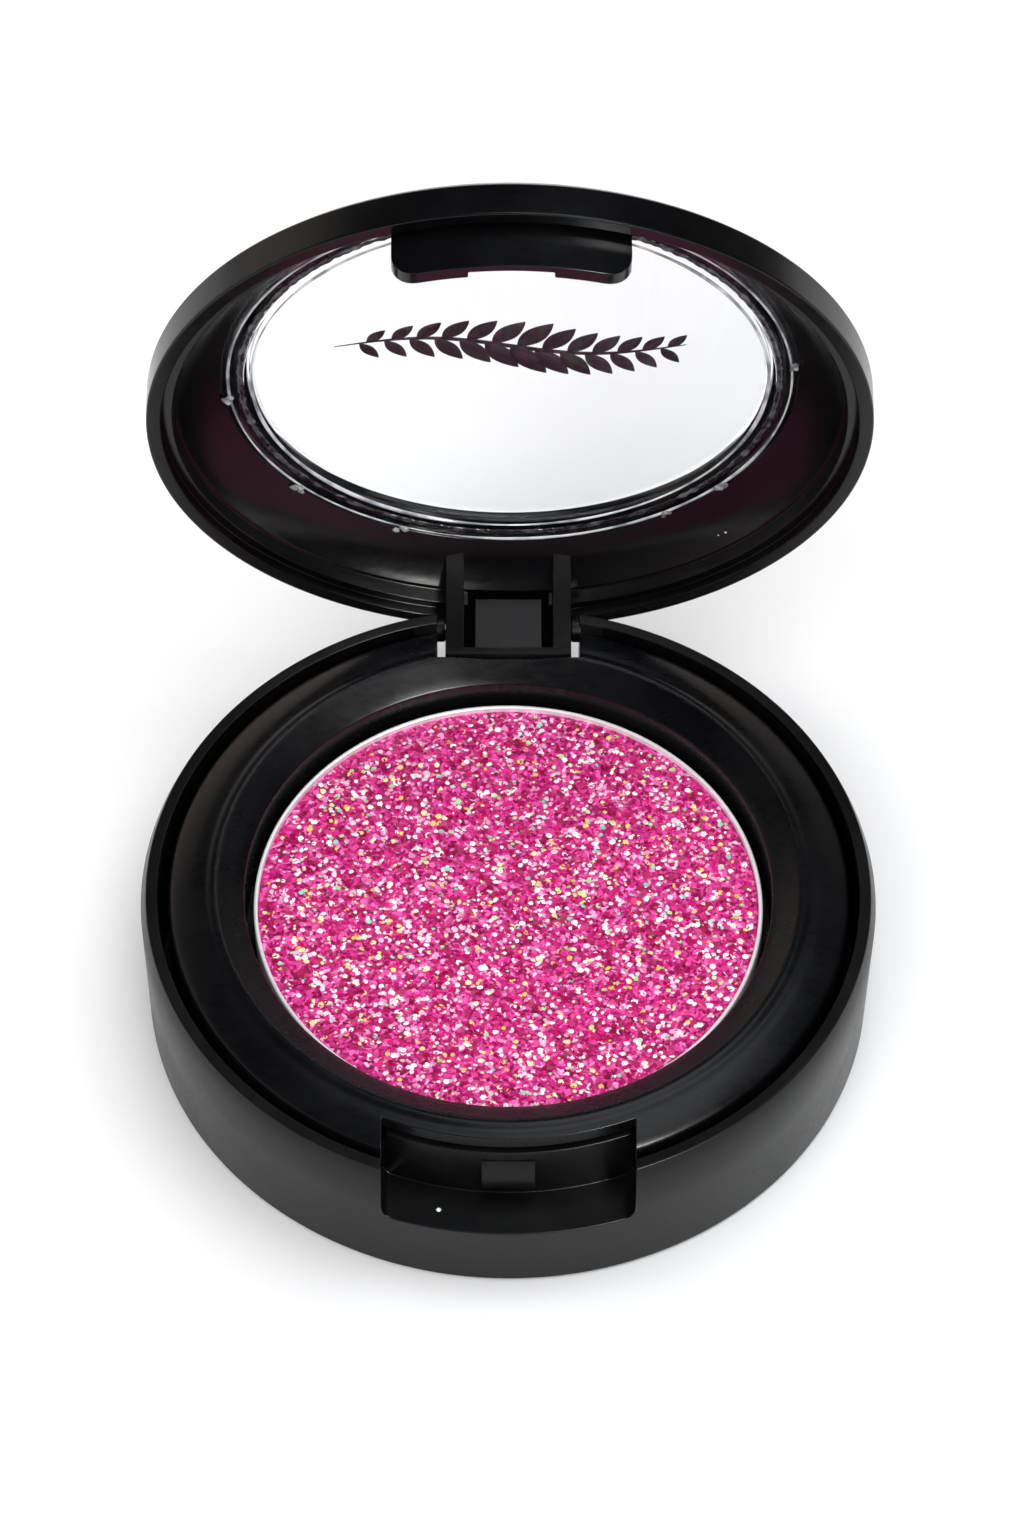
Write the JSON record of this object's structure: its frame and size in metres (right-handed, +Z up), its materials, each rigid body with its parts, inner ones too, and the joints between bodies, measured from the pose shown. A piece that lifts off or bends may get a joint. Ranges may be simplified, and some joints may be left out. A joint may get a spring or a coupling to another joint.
{
  "type": "eyeshadow compact",
  "caption": "Round black single-pan eyeshadow compact with pressed pink glitter and a hinged window lid that opens and snaps shut.",
  "frame": {"origin": "centre of the foot, on the surface that the compact stands on", "axes": "+Z up, +Y towards the hinge at the back, +X to the right of a person facing the thumb notch; the lid stands open 83.6 degrees at rest"},
  "size_m": [0.052, 0.0567, 0.0597],
  "materials": {
    "base_plastic": "satin black moulded plastic",
    "tray_plastic": "satin black moulded plastic, a little glossier than the base",
    "lid_plastic": "black moulded plastic, satin outside and glossy inside",
    "clear_plastic": "clear moulded styrene",
    "pan_metal": "bright drawn sheet",
    "glitter": "pressed pink glitter with white, gold and green flakes",
    "pin_steel": "plain drawn wire",
    "adhesive_film": "double-sided adhesive film",
    "label_paper": "blank coated sticker",
    "dried_glue": "translucent whitish glue"
  },
  "bodies": {
    "base": {"base_shell": "base_plastic", "tray_insert": "tray_plastic", "pan_adhesive": "adhesive_film", "pan": "pan_metal", "pressed_glitter": "glitter", "base_label": "label_paper", "hinge_pin": "pin_steel"},
    "lid": {"lid_shell": "lid_plastic", "window_lens": "clear_plastic", "lens_glue_tack_1": "dried_glue", "lens_glue_tack_2": "dried_glue", "lens_glue_tack_3": "dried_glue", "lens_glue_tack_4": "dried_glue", "lens_glue_tack_5": "dried_glue", "lens_glue_tack_6": "dried_glue"}
  },
  "joints": [
    {"name": "lid_hinge", "type": "hinge", "parent": "base", "child": "lid", "pos_m": [0, 0.02415, 0.01], "axis": [-1, 0, 0], "range_deg": [-83.6, 15]}
  ]
}
